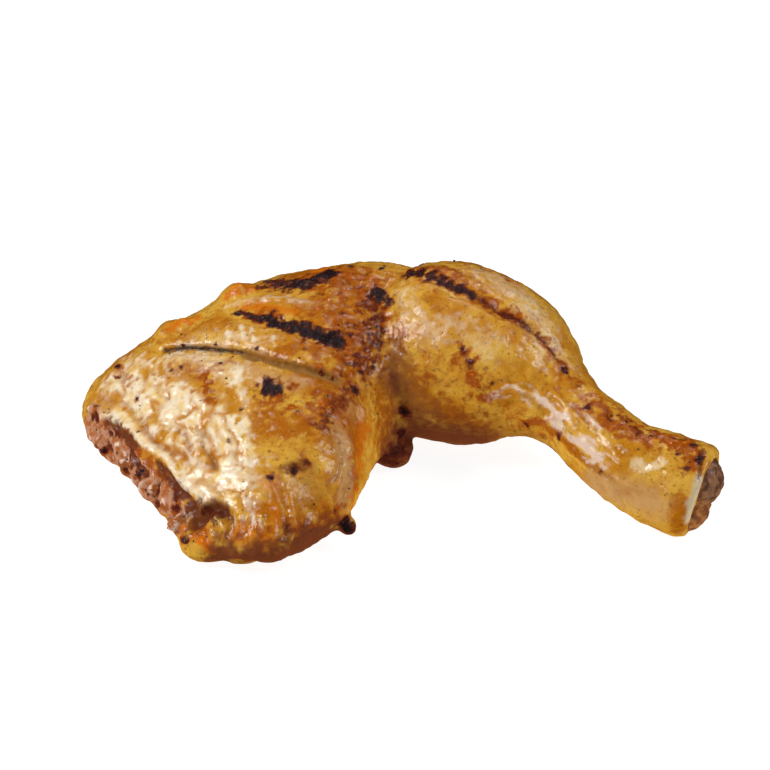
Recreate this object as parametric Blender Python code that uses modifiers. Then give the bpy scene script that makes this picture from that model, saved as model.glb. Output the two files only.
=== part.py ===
"""A grilled chicken leg quarter, thigh and drumstick in one piece, lying skin side up.

Run it with blender --background --python part.py, or from Blender's text editor. It models in
metres with +Z up. X runs along the length, from the thigh on the left to the drumstick's end on
the right, Y runs from the near side to the back, and the floor under the leg is z = 0.
"""

import math
import random

import bmesh
import bpy
import numpy as np
from mathutils import Matrix, Vector, noise
from mathutils.bvhtree import BVHTree

MM = 0.001

# Mesh fineness
LEG_VOXEL = 1.0
BONE_VOXEL = 0.7
RING_POINTS = 40
LEG_TRIANGLES = 10000
BONE_TRIANGLES = 1300

# The thigh: its bone line runs from the cut hip end to the knee. Each station is the distance
# along that line, the reach towards the back, the reach towards the near side, the height of
# the crown, the height of the widest line, how far the underside hangs below that, and how far
# the crown leans towards the back.
HIP = Vector((-61.0, -15.9, 0.0))
KNEE = Vector((12.5, 38.1, 0.0))
THIGH_STATIONS = (
    (-7.9, 28.5, 34.0, 11.6, 8.4, 1.9, 1.9),
    (-6.5, 36.0, 42.5, 14.9, 8.8, 3.7, 3.7),
    (-2.8, 42.6, 48.0, 21.2, 9.3, 5.6, 5.6),
    (3.7, 46.5, 51.4, 26.4, 9.8, 9.3, 7.4),
    (14.0, 46.6, 49.2, 32.4, 10.2, 13.0, 8.4),
    (27.0, 45.3, 46.8, 37.7, 11.2, 13.0, 8.4),
    (40.0, 43.6, 36.8, 41.8, 11.6, 13.0, 8.4),
    (54.0, 40.9, 26.8, 45.1, 12.1, 13.0, 7.4),
    (68.0, 35.3, 23.0, 46.5, 13.0, 13.0, 4.6),
    (84.0, 27.0, 20.0, 45.6, 14.9, 13.0, 1.9),
    (97.0, 14.9, 12.1, 38.1, 18.6, 13.0, 0.0),
)

# The drumstick: each station is a point on its middle line, the half width and the half height.
DRUMSTICK_STATIONS = (
    (0.7, 33.6, 25.0, 12.0, 13.0),
    (6.2, 30.6, 25.4, 22.5, 22.9),
    (15.2, 25.4, 25.0, 26.8, 25.8),
    (26.7, 19.2, 24.7, 26.0, 24.7),
    (36.7, 11.0, 24.3, 21.6, 20.4),
    (44.0, 3.6, 22.2, 14.4, 13.6),
    (50.8, -4.6, 19.8, 10.4, 10.8),
    (57.2, -13.2, 17.8, 10.6, 11.6),
    (64.6, -21.2, 15.1, 11.4, 12.4),
    (73.0, -26.1, 13.7, 12.5, 13.5),
    (79.3, -30.2, 13.3, 13.0, 13.4),
    (82.6, -32.0, 12.7, 12.0, 12.6),
)

# The shank bone: a shaft along the drumstick's middle line, and a knuckle of two lobes, one over
# the other, that shows at the cut end. The bore in the meat is wider by the clearance.
SHAFT_STATIONS = (
    (20.0, 23.0, 25.0, 5.2, 5.2),
    (36.7, 12.2, 24.0, 4.2, 4.2),
    (50.2, -4.9, 19.6, 3.9, 3.9),
    (64.6, -21.0, 15.2, 4.2, 4.4),
    (78.0, -28.4, 13.2, 5.6, 6.6),
)
LOBE_RADIUS = 6.9
UPPER_LOBE = (80.8, -30.8, 17.0)
LOWER_LOBE = (78.0, -30.2, 8.4)
BORE_CLEARANCE = 0.45

# Lumps fused to the meat: centre, and radii along X, Y and Z.
LUMPS = {
    "upper back bump": ((-42.4, 31.6, 37.6), (7.2, 6.6, 5.0)),
    "lower back bump": ((-60.5, 23.0, 31.0), (7.6, 6.0, 4.2)),
    "nub": ((-47.0, -41.5, 5.6), (8.6, 7.4, 6.0)),
    "nub's tip": ((-38.5, -43.6, 4.2), (7.0, 5.4, 4.6)),
    "shred": ((-54.6, -40.0, 8.6), (3.6, 2.2, 2.0)),
    "near knob": ((-10.9, -38.5, 7.0), (2.9, 2.9, 2.9)),
    "lump under the knee": ((0.5, 3.5, 5.2), (6.6, 7.0, 5.4)),
    "knee bead": ((5.4, 1.2, 18.6), (2.4, 2.4, 2.4)),
    "second knee bead": ((3.0, 0.8, 13.0), (2.2, 2.2, 2.2)),
}

# The ragged cut edge along the hip: crags set along a line with some wander.
CUT_EDGE = (Vector((-82.4, 2.6, 9.8)), Vector((-50.0, -39.5, 7.5)))
CUT_EDGE_CRAGS = 24
CRAG_RADIUS = (1.9, 3.9)
CRAG_WANDER = Vector((1.5, 1.5, 3.4))
SEED = 20

# Relief: height along the surface (a groove is below 0), half width, and the path on the skin.
RELIEF = {
    "slit": (-2.8, 3.0, ((-66, 14, 31), (-58, 10, 34), (-51, 7, 36), (-38, 0, 38), (-24, -7.4, 38), (-12, -10, 34))),
    "slit's lower lip": (0.8, 4.0, ((-58, 3, 33), (-44, -4, 36), (-30, -11, 37), (-16, -15, 34))),
    "thigh grill mark": (-1.4, 4.4, ((-46, 20.5, 39.7), (-33, 12, 41.4), (-22, 5, 41.4), (-11, 1.6, 39.2))),
    "char patch": (-0.9, 6.5, ((-36, 29, 43), (-28, 29, 44), (-20, 29, 45))),
    "drumstick grill mark": (-1.7, 3.6, ((6, 29, 50), (15, 17, 50.5), (25, 12.2, 48.5), (36, 6.6, 44), (47, 3, 37))),
    "near fold": (-2.8, 3.4, ((-31.6, -39, 23.3), (-28.5, -46.4, 20.3), (-26.8, -51, 13))),
    "near pocket": (-2.0, 8.0, ((-23, -34, 24), (-21.5, -42, 20), (-20, -48, 14))),
    "pocket's rim": (1.4, 5.0, ((-13, -22, 25), (-11.5, -31, 18), (-14, -40, 10))),
    "skin's edge over the cut": (1.4, 4.0, ((-86, 8, 17), (-76, -6, 18), (-62, -24, 18), (-48, -43, 17))),
    "fold one": (-1.0, 3.4, ((-76, 4, 23), (-66, -10, 25), (-55, -22, 25))),
    "fold two": (-1.0, 3.6, ((-62, -8, 28), (-53, -20, 27), (-43, -33, 25.5))),
    "fold three": (0.9, 4.0, ((-55, -6, 32), (-47, -18, 31), (-38, -30, 29))),
    "shank tendon": (1.0, 3.4, ((43, -2, 29), (52, -14, 25), (60, -24, 21), (67, -30, 18))),
    "second tendon": (0.8, 3.0, ((38, -5, 24), (48, -16, 19), (59, -27, 15))),
}
UNEVEN_HEIGHT = 0.45
UNEVEN_LENGTH = 11.0
FLAT_BELOW = 0.4

# The move that puts the middle of the finished leg over the origin
TO_CENTRE = Vector((0.35, 0.4, 0.0))

# Colours
SKIN_COLOUR = (0.60, 0.30, 0.08, 1.0)
BONE_COLOUR = (0.52, 0.42, 0.28, 1.0)


def fresh_scene():
    for obj in list(bpy.data.objects):
        bpy.data.objects.remove(obj)


def collection(name):
    made = bpy.data.collections.new(name)
    bpy.context.scene.collection.children.link(made)
    return made


def material(name, colour, roughness):
    made = bpy.data.materials.new(name)
    made.use_nodes = True
    shader = made.node_tree.nodes["Principled BSDF"]
    shader.inputs["Base Color"].default_value = colour
    shader.inputs["Roughness"].default_value = roughness
    return made


def eased(rows, per_gap):
    """Points on a smooth curve through the rows, each gap cut into per_gap steps."""
    rows = np.array(rows, float)
    before = 2 * rows[0] - rows[1]
    after = 2 * rows[-1] - rows[-2]
    ext = np.vstack([before, rows, after])
    out = []
    for i in range(1, len(ext) - 2):
        a, b, c, d = ext[i - 1 : i + 3]
        for k in range(per_gap):
            t = k / per_gap
            out.append(
                0.5
                * (2 * b + (c - a) * t + (2 * a - 5 * b + 4 * c - d) * t * t + (3 * b - a - 3 * c + d) * t**3)
            )
    out.append(rows[-1])
    return np.array(out)


def added(name, bm):
    bmesh.ops.recalc_face_normals(bm, faces=bm.faces)
    mesh = bpy.data.meshes.new(name)
    bm.to_mesh(mesh)
    bm.free()
    obj = bpy.data.objects.new(name, mesh)
    bpy.context.scene.collection.objects.link(obj)
    return obj


def lofted(name, rings):
    """A closed mesh through rings of points in mm, with a fan at each end."""
    bm = bmesh.new()
    loops = [[bm.verts.new(Vector(p) * MM) for p in ring] for ring in rings]
    count = len(loops[0])
    for low, high in zip(loops, loops[1:]):
        for i in range(count):
            j = (i + 1) % count
            bm.faces.new((low[i], low[j], high[j], high[i]))
    for loop in (loops[0], loops[-1]):
        middle = bm.verts.new(sum((v.co for v in loop), Vector()) / count)
        for i in range(count):
            bm.faces.new((middle, loop[i], loop[(i + 1) % count]))
    return added(name, bm)


def lump(name, centre, radii):
    """An oval ball."""
    bm = bmesh.new()
    place = Matrix.Translation(Vector(centre) * MM) @ Matrix.Diagonal((*(Vector(radii) * MM), 1.0))
    bmesh.ops.create_icosphere(bm, subdivisions=3, radius=1.0, matrix=place)
    return added(name, bm)


def power(value, exponent):
    return math.copysign(abs(value) ** exponent, value)


def thigh():
    """A dome over a rounded outline: broad shoulders, and sides that tuck in below the widest line."""
    along = (KNEE - HIP).normalized()
    back = Vector((-along.y, along.x, 0.0))
    rings = []
    for t, to_back, to_near, crown, widest, under, lean in eased(THIGH_STATIONS, 3):
        ring = []
        for i in range(RING_POINTS):
            a = 2 * math.pi * i / RING_POINTS
            reach = to_back if math.cos(a) > 0 else to_near
            side = power(math.cos(a), 0.85) * reach
            if math.sin(a) >= 0:
                rise = math.sin(a) ** 0.8 * (crown - widest)
                side += lean * math.sin(a) ** 2
            else:
                rise = power(math.sin(a), 0.8) * under
            p = HIP + along * t + back * side
            ring.append((p.x, p.y, widest + rise))
        rings.append(ring)
    return lofted("thigh", rings)


def limb(name, stations):
    """Oval sections square to a middle line."""
    rows = eased(stations, 3)
    centres = rows[:, :3]
    rings = []
    for k, (x, y, z, half_width, half_height) in enumerate(rows):
        tangent = Vector(centres[min(k + 1, len(rows) - 1)] - centres[max(k - 1, 0)]).normalized()
        level = tangent.cross(Vector((0, 0, 1))).normalized()
        up = level.cross(tangent)
        ring = []
        for i in range(RING_POINTS):
            a = 2 * math.pi * i / RING_POINTS
            ring.append(Vector((x, y, z)) + level * math.cos(a) * half_width + up * math.sin(a) * half_height)
        rings.append(ring)
    return lofted(name, rings)


def crags():
    """Small torn lumps along the cut at the hip."""
    draw = random.Random(SEED)
    start, end = CUT_EDGE
    made = []
    for i in range(CUT_EDGE_CRAGS):
        centre = start.lerp(end, (i + draw.uniform(-0.3, 0.3)) / (CUT_EDGE_CRAGS - 1))
        centre += Vector([draw.uniform(-w, w) for w in CRAG_WANDER])
        radii = [draw.uniform(*CRAG_RADIUS) for _ in range(3)]
        made.append(lump("crag", centre, radii))
    return made


def largest_shell(mesh):
    """Drops loose scraps and sealed hollows: every shell but the one with the most points."""
    bm = bmesh.new()
    bm.from_mesh(mesh)
    left, shells = set(bm.verts), []
    while left:
        shell, edge = set(), {left.pop()}
        while edge:
            shell |= edge
            edge = {e.other_vert(v) for v in edge for e in v.link_edges} - shell
        left -= shell
        shells.append(shell)
    shells.sort(key=len)
    for shell in shells[:-1]:
        bmesh.ops.delete(bm, geom=list(shell), context="VERTS")
    bm.to_mesh(mesh)
    bm.free()


def fused(name, pieces, voxel, rounds):
    """One skin over all the pieces, softened."""
    first, others = pieces[0], collection(name + " pieces")
    for piece in pieces[1:]:
        bpy.context.scene.collection.objects.unlink(piece)
        others.objects.link(piece)
    union = first.modifiers.new("join", "BOOLEAN")
    union.operation = "UNION"
    union.operand_type = "COLLECTION"
    union.collection = others
    skin = first.modifiers.new("skin", "REMESH")
    skin.mode = "VOXEL"
    skin.voxel_size = voxel * MM
    soften = first.modifiers.new("soften", "SMOOTH")
    soften.factor = 0.5
    soften.iterations = rounds
    graph = bpy.context.evaluated_depsgraph_get()
    mesh = bpy.data.meshes.new_from_object(first.evaluated_get(graph))
    mesh.name = name
    largest_shell(mesh)
    for piece in pieces:
        bpy.data.objects.remove(piece)
    bpy.data.collections.remove(others)
    return bpy.data.objects.new(name, mesh)


def along_path(points, path):
    """How far each point is from a line through the path's points, and how far along it from 0 to 1."""
    nearest, place = np.full(len(points), np.inf), np.zeros(len(points))
    for k, (a, b) in enumerate(zip(path, path[1:])):
        span = b - a
        share = np.clip((points - a) @ span / (span @ span), 0.0, 1.0)
        away = np.linalg.norm(points - (a + share[:, None] * span), axis=1)
        closer = away < nearest
        nearest[closer], place[closer] = away[closer], ((k + share) / (len(path) - 1))[closer]
    return nearest, place


def carved(mesh):
    """Folds, grooves, lips and a slight unevenness, then the flat the leg lies on."""
    tree = BVHTree.FromPolygons([v.co for v in mesh.vertices], [p.vertices for p in mesh.polygons])
    points = np.array([v.co for v in mesh.vertices]) / MM
    normals = np.array([v.vector for v in mesh.vertex_normals])
    lift = np.array([noise.noise(Vector(p) / UNEVEN_LENGTH) for p in points]) * UNEVEN_HEIGHT
    for height, half_width, path in RELIEF.values():
        on_skin = [np.array(tree.find_nearest(Vector(p) * MM)[0]) / MM for p in eased(path, 4)]
        away, place = along_path(points, on_skin)
        slender = 0.45 + 0.55 * np.sin(math.pi * place) ** 0.7
        share = np.clip(away / (half_width * slender), 0.0, 1.0)
        lift += height * slender * (1 - share**2) ** 2
    points += normals * lift[:, None]
    points[points[:, 2] < FLAT_BELOW, 2] = 0.0
    mesh.vertices.foreach_set("co", (points * MM).ravel())
    mesh.update()


def lightened(obj, triangles):
    """Fewer triangles, most of them left where the surface bends."""
    obj.data.calc_loop_triangles()
    lighten = obj.modifiers.new("lighten", "DECIMATE")
    lighten.ratio = triangles / len(obj.data.loop_triangles)


def main():
    fresh_scene()
    parts, cutters = collection("grilled chicken leg quarter"), collection("cutters")

    pieces = [thigh(), limb("drumstick", DRUMSTICK_STATIONS)]
    pieces += [lump(name, *sizes) for name, sizes in LUMPS.items()]
    leg = fused("chicken_leg", pieces + crags(), LEG_VOXEL, 4)
    carved(leg.data)
    leg.data.materials.append(material("roast skin", SKIN_COLOUR, 0.35))
    lightened(leg, LEG_TRIANGLES)
    parts.objects.link(leg)

    lobes = [lump("lobe", at, [LOBE_RADIUS] * 3) for at in (UPPER_LOBE, LOWER_LOBE)]
    shank = fused("shank_bone", [limb("shaft", SHAFT_STATIONS)] + lobes, BONE_VOXEL, 2)
    shank.data.materials.append(material("bone", BONE_COLOUR, 0.5))
    lightened(shank, BONE_TRIANGLES)
    parts.objects.link(shank)

    bore = shank.copy()
    bore.data = shank.data.copy()
    bore.name = "bore"
    wider = bore.modifiers.new("clearance", "DISPLACE")
    wider.mid_level = 0.0
    wider.strength = BORE_CLEARANCE * MM
    bore.display_type = "WIRE"
    bore.hide_render = True
    cutters.objects.link(bore)
    cutters.hide_render = True
    cut = leg.modifiers.new("bore", "BOOLEAN")
    cut.operation = "DIFFERENCE"
    cut.object = bore

    for obj in (leg, shank, bore):
        obj.data.transform(Matrix.Translation(TO_CENTRE * MM))


main()
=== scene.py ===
# %% [markdown]
# A grilled chicken leg quarter lies skin side up on a pale table: thigh on the left, drumstick and bent
# knee on the right, with grill marks, a slit in the skin and a cut bone end. Blender works in metres, in
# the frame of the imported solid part, with the table at z = 0. Places on the leg are given in millimetres.
# The solids are loaded first, because every visible piece starts from them and has to stay inside their
# box.
# %% Load the solid part
import math

import bmesh
import bpy
import numpy as np
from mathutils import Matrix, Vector, noise
from mathutils.bvhtree import BVHTree


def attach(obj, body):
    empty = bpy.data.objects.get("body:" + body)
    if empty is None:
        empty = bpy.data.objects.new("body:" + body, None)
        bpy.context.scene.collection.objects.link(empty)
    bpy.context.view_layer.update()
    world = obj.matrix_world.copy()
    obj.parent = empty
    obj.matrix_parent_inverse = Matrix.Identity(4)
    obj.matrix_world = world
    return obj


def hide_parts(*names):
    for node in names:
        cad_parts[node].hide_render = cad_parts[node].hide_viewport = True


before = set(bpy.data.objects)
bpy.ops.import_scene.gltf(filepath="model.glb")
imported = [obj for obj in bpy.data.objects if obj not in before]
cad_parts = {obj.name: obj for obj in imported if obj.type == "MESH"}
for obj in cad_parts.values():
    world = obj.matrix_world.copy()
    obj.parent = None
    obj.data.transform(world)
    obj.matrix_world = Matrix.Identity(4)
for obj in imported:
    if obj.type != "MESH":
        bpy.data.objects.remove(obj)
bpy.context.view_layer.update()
MM = 0.001

# %% [markdown]
# The camera looks down at the leg by thirty degrees from the near side, through a long lens, so the far
# side of the thigh shows and the drumstick hardly tapers with distance. It could be placed by hand, but a
# point to aim at, a tilt and a distance can each be tuned alone.
# %% Camera
AIM = Vector((-1.10, 5.05, 25.1)) * MM
CAMERA_TILT = math.radians(30)
CAMERA_DISTANCE = 506 * MM
LENS = 85
SENSOR_WIDTH = 36
NEAREST = 0.01
FARTHEST = 20


def put(name, data):
    """A new object in the scene."""
    made = bpy.data.objects.new(name, data)
    bpy.context.scene.collection.objects.link(made)
    return made


lens = bpy.data.cameras.new("camera")
lens.lens = LENS
lens.sensor_width = SENSOR_WIDTH
lens.clip_start = NEAREST
lens.clip_end = FARTHEST
camera = put("camera", lens)
camera.location = AIM + Vector((0, -math.cos(CAMERA_TILT), math.sin(CAMERA_TILT))) * CAMERA_DISTANCE
camera.rotation_euler = (math.pi / 2 - CAMERA_TILT, 0, 0)
bpy.context.scene.camera = camera
print("camera", [round(v, 3) for v in camera.location])

# %% [markdown]
# Oily skin is read from its highlights, so light matters as much as colour. Two fairly small lamps stand
# at the sides, the left one stronger, and a weak one behind lights the far rim. Area lights were chosen
# over suns, because their size sets how soft the shine is. A faint white sky fills the rest, but the oil
# doesn't mirror it or the table, which would lie on the amber as a milky film.
# %% Lights
# For each lamp: where it stands and the length of its side in metres, and its power in watts.
LIGHTS = {
    "left": ((-0.64, -0.12, 0.58), 0.24, 5.4),
    "right": ((0.62, -0.14, 0.58), 0.30, 3.2),
    "back": ((0.10, 0.62, 0.72), 0.07, 0.9),
}
SKY_STRENGTH = 0.20


def soft_light(name, place, side, watts):
    """A square lamp that faces the leg."""
    lamp = bpy.data.lights.new(name, "AREA")
    lamp.shape = "SQUARE"
    lamp.size = side
    lamp.energy = watts
    light = put(name, lamp)
    light.location = place
    light.rotation_euler = (AIM - Vector(place)).to_track_quat("-Z", "Y").to_euler()


for name, (place, side, watts) in LIGHTS.items():
    soft_light(name, place, side, watts)
sky = bpy.data.worlds.new("sky")
sky.use_nodes = True
glow = sky.node_tree.nodes["Background"].inputs
glow["Color"].default_value = (1, 1, 1, 1)
glow["Strength"].default_value = SKY_STRENGTH
bpy.context.scene.world = sky
sky.cycles_visibility.glossy = False
bpy.context.scene.view_settings.view_transform = "Standard"
print("lights", len(LIGHTS), "and a sky of", SKY_STRENGTH)

# %% [markdown]
# Every finish below is a tree of shader nodes. They could be wired by hand in the editor, but a few
# helpers keep them readable as text. One starts a finish, one fills a node's sockets and one adds a node.
# The others blend colours, multiply and sharpen masks, and read one that is painted on a mesh.
# %% Helpers for shader nodes


def finish(name):
    """A new material, with its tree of nodes and its shader."""
    made = bpy.data.materials.new(name)
    made.use_nodes = True
    return made, made.node_tree, made.node_tree.nodes["Principled BSDF"]


def fill(tree, node, **sockets):
    """A value or a link for each socket of a node. The socket i0 is its first."""
    for key, value in sockets.items():
        numbered = key[0] == "i" and key[1:].isdigit()
        socket = node.inputs[int(key[1:]) if numbered else key.replace("_", " ")]
        if isinstance(value, bpy.types.NodeSocket):
            tree.links.new(value, socket)
        else:
            socket.default_value = value


def step(tree, kind, settings=None, **sockets):
    """A new node with its settings and its sockets filled."""
    node = tree.nodes.new(kind)
    for key, value in (settings or {}).items():
        setattr(node, key, value)
    fill(tree, node, **sockets)
    return node


def blend(tree, mask, under, over):
    """The under colour where the mask is 0, the over colour where it is 1."""
    return step(tree, "ShaderNodeMix", {"data_type": "RGBA"}, i0=mask, i6=under, i7=over).outputs[2]


def times(tree, a, b):
    """Two values multiplied."""
    return step(tree, "ShaderNodeMath", {"operation": "MULTIPLY"}, i0=a, i1=b).outputs[0]


def ramp(tree, value, low, high):
    """0 below low, 1 above high, and smooth between."""
    smooth = {"interpolation_type": "SMOOTHSTEP"}
    return step(tree, "ShaderNodeMapRange", smooth, Value=value, From_Min=low, From_Max=high).outputs[0]


def painted(tree, name):
    """A mask that was painted on the mesh, one value for each point."""
    return step(tree, "ShaderNodeAttribute", {"attribute_name": name}).outputs["Fac"]


# %% [markdown]
# The table is a wide plain disc. Lit from below, as a light table is, it stays evenly white with a faint
# shadow, so most of its white is glow and little is reflected light. A plain white sheet under a bright
# sky would do too, but that sky would wash out the skin.
# %% Table
TABLE_RADIUS = 12.0
TABLE_CORNERS = 64
TABLE_GLOW = 0.92
TABLE_GREY = (0.22, 0.22, 0.22, 1)
TABLE_ROUGHNESS = 0.8

disc = bmesh.new()
bmesh.ops.create_circle(disc, cap_ends=True, segments=TABLE_CORNERS, radius=TABLE_RADIUS)
mesh = bpy.data.meshes.new("table")
disc.to_mesh(mesh)
disc.free()
table = put("table", mesh)
white, tree, shader = finish("white table")
fill(tree, shader, Base_Color=TABLE_GREY, Roughness=TABLE_ROUGHNESS, Specular_IOR_Level=0.0)
fill(tree, shader, Emission_Color=(1, 1, 1, 1), Emission_Strength=TABLE_GLOW)
mesh.materials.append(white)
table.visible_glossy = False
print("table", TABLE_RADIUS * 2, "m across")

# %% [markdown]
# The skin is one closed surface over the whole leg. It could be sculpted by hand, but the solid already
# has the true form, so the skin is a copy of it: one round of subdivision takes the facets off, a voxel
# remesh gives an even net of small faces that can carry folds and pores, and smoothing takes off the
# steps that voxels leave.
# %% Skin: an even net over the solid
MERGE_GAP = 1e-6
SKIN_VOXEL = 0.74
SKIN_SMOOTHING = 6


def frozen(draft, name):
    """A plain piece with the draft's modifiers applied, in place of the draft."""
    graph = bpy.context.evaluated_depsgraph_get()
    mesh = bpy.data.meshes.new_from_object(draft.evaluated_get(graph))
    bpy.data.objects.remove(draft)
    mesh.name = name
    print(name, "faces", len(mesh.polygons))
    return put(name, mesh)


def even_net(node, name, voxel, smoothing):
    """A fine closed copy of a solid, with faces of one size."""
    bm = bmesh.new()
    bm.from_mesh(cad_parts[node].data)
    bmesh.ops.remove_doubles(bm, verts=bm.verts, dist=MERGE_GAP)
    mesh = bpy.data.meshes.new(name)
    bm.to_mesh(mesh)
    bm.free()
    draft = put("draft", mesh)
    rounder = draft.modifiers.new("round", "SUBSURF")
    rounder.levels = rounder.render_levels = 1
    net = draft.modifiers.new("net", "REMESH")
    net.mode = "VOXEL"
    net.voxel_size = voxel * MM
    ease = draft.modifiers.new("ease", "SMOOTH")
    ease.factor = 0.5
    ease.iterations = smoothing
    piece = frozen(draft, name)
    piece.data.materials.clear()
    piece.data.polygons.foreach_set("use_smooth", np.ones(len(piece.data.polygons), bool))
    return piece


def places(mesh):
    """Where the mesh's points lie, in mm, and which way each faces."""
    at = np.array([v.co for v in mesh.vertices]) / MM
    return at, np.array([v.vector for v in mesh.vertex_normals])


skin = even_net("chicken_leg", "skin_and_meat", SKIN_VOXEL, SKIN_SMOOTHING)
points, outward = places(skin.data)

# %% [markdown]
# Marks on food follow the surface: a grill bar, a slit or a fold is a line on the skin, and a burnt spot
# is a short one. They could be painted with a brush, but a path in numbers can be moved again. Each is a
# few places, joined by a smooth curve and dropped onto the skin, and a helper measures how far the points
# of the skin lie from it.
# %% Paths on the skin
surface = BVHTree.FromPolygons([v.co for v in skin.data.vertices], [p.vertices for p in skin.data.polygons])


def eased(rows, per_gap=4):
    """Points on a smooth curve through the rows."""
    rows = np.array(rows, float)
    ext = np.vstack([2 * rows[0] - rows[1], rows, 2 * rows[-1] - rows[-2]])
    out = []
    for a, b, c, d in zip(ext, ext[1:], ext[2:], ext[3:]):
        for t in np.arange(per_gap) / per_gap:
            bend = (2 * a - 5 * b + 4 * c - d) * t**2 + (3 * b - a - 3 * c + d) * t**3
            out.append(0.5 * (2 * b + (c - a) * t + bend))
    return np.array(out + [rows[-1]])


def on_skin(path):
    """The path as a smooth line that lies on the skin, or a single place."""
    path = eased(path) if len(path) > 1 else path
    return np.array([np.array(surface.find_nearest(Vector(p) * MM)[0]) / MM for p in path])


def away(path, reach):
    """Which points lie within reach of the path, how far from it, and how far along it from 0 to 1."""
    line = on_skin(path)
    near = np.flatnonzero(np.all((points > line.min(0) - reach) & (points < line.max(0) + reach), axis=1))
    at = points[near]
    gap = np.linalg.norm(at - line[0], axis=1)
    place = np.full(len(near), 0.5)
    for k, (a, b) in enumerate(zip(line, line[1:])):
        span = b - a
        share = np.clip((at - a) @ span / max(span @ span, 1e-9), 0, 1)
        this = np.linalg.norm(at - (a + share[:, None] * span), axis=1)
        closer = (this < gap) | (k == 0)
        gap[closer] = this[closer]
        place[closer] = ((k + share) / (len(line) - 1))[closer]
    return near, gap, place


print("paths can be dropped on", len(skin.data.polygons), "faces")

# %% [markdown]
# A stroke is a path with a width. A point's weight falls from 1 on the path to 0 at its half width, and a
# little noise makes the edge ragged, as browning is. Blender's noise.noise is used, because it gives the
# same values on every run. Strokes are laid over each other as one mask, as coats of paint are.
# %% Strokes on the skin
RAGGED_PEAK = 1.6


def noise_at(where):
    """Smooth noise between about -1 and 1 at each place."""
    return np.array([noise.noise(Vector(p)) for p in where])


def grain(size, shift=0.0):
    """Smooth noise over the skin, with features of the size in mm; a shift makes it another one."""
    return noise_at(points / size + shift)


def soft(value, low, high):
    """0 below low, 1 above high, and smooth between."""
    share = np.clip((value - low) / (high - low), 0, 1)
    return share * share * (3 - 2 * share)


wander = np.stack([grain(6.0, shift) for shift in (11.0, 29.0, 47.0)], axis=1)
ragged = grain(2.3, 7.0) + 0.6 * grain(1.1, 3.0)


def stroke(width, path, end=None, rag=0.35, crisp=0.6):
    """1 along the stroke and 0 past its half width in mm, which may change to another at its end."""
    end = end or width
    near, gap, place = away(path, max(width, end) * (1 + RAGGED_PEAK * rag))
    weight = np.zeros(len(points))
    weight[near] = soft(1 - (gap / (width + (end - width) * place) + rag * ragged[near]), 0.0, crisp)
    return weight


def smudge(width, path, end=None, rag=0.5, crisp=1):
    """A stroke that fades all the way out to a more ragged edge."""
    return stroke(width, path, end, rag, crisp)


def layered(*strokes):
    """Strokes as one mask. A stroke may come with a strength: (0.5, stroke)."""
    bare = np.ones(len(points))
    for one in strokes:
        strength, weight = one if isinstance(one, tuple) else (1, one)
        bare = bare * (1 - strength * weight)
    return 1 - bare


def print_means(**masks):
    """Prints how much of the skin each mask covers."""
    for name, values in masks.items():
        print(name, round(float(values.mean()), 4))


print("strokes ready for", len(points), "points")

# %% [markdown]
# The grill left a thick bar on the thigh, a burnt patch on its crown and a long thin bar down the
# drumstick. Between them lie burnt spots where a bubble of skin stood up to the fire. All of them are one
# mask, because they are the same black crust. Three smudges in the same mask are painted shade, darkened
# as crust: under the knee, in the cavity above the nub and along a crevice of the cut hip. The larger spots
# have a halo of skin that was scorched but didn't burn.
# %% Burnt marks and some painted shade
BAR = (
    (-44, 21, 39), (-40, 19, 40), (-36, 16, 40), (-33, 14, 41),
    (-29, 11, 41), (-25, 9, 41), (-20, 6, 40), (-14, 4, 40),
)
CROWN_BURN = ((-27, 29, 44), (-21, 30, 45), (-17, 33, 46))
DRUM_BAR = (
    (6, 28, 48), (9, 26, 49), (13, 22, 50), (18, 18, 49), (23, 16, 48),
    (30, 11, 45), (36, 9, 43), (44, 4, 37), (50, -3, 32),
)
THIGH_SPOT = ((-32, -13, 34), (-30, -14, 34))
KNEE_SPOT = ((-4, 22, 45), (-1, 20, 44))
SMALLEST_HALO = 0.95
SPOTS = (
    (1.5, (-77, 16, 25)), (1.3, (-76, 11, 24)), (1.6, (-83, 5, 15)), (0.9, (-39, -19, 31)),
    (1.0, (-69, -1, 24)), (1.9, (-79, -4, 9)), (1.5, (-68, -20, 12)), (1.2, (-61, -27, 12)),
    (1.4, (-56, -35, 11)), (1.7, (-53, -45, 8)), (1.5, (-31, -39, 23)), (1.5, (-24, -37, 24)),
    (1.0, (-21, -35, 25)), (1.7, (-9, -9, 31)), (0.9, (-24, -21, 32)), (1.3, (20, 1, 39)),
    (1.8, (22, -1, 36)), (1.3, (25, -5, 29)), (1.2, (38, -7, 20)), (1.2, (45, -15, 20)),
    (1.1, (56, -27, 17)), (1.4, (53, -13, 29)), (1.8, (77, -26, 27)), (1.4, (80, -29, 27)),
    (1.3, (75, -32, 26)), (1.3, (77, -36, 24)), (2.0, (81, -34, 25)), (2.2, (5, 1, 19)),
    (2.0, (3, 1, 13)), (2.8, (-11, -39, 8)), (0.8, (-68, -12, 20)), (0.8, (-42, -28, 27)),
    (0.9, (-57, 2, 32)), (0.9, (-46, -1, 35)), (0.8, (-60, 3, 31)), (1.0, (-18, -7, 36)),
    (0.9, (-15, -8, 35)), (1.0, (-8, -3, 34)), (1.2, (-4, 1, 33)), (1.1, (-1, 5, 34)),
    (0.8, (-58, 12, 34)), (0.8, (-48, 9, 36)), (0.9, (-36, 3, 38)), (0.7, (-23, 0, 39)),
    (1.1, (48, -1, 33)), (1.0, (52, -5, 30)),
)
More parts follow.
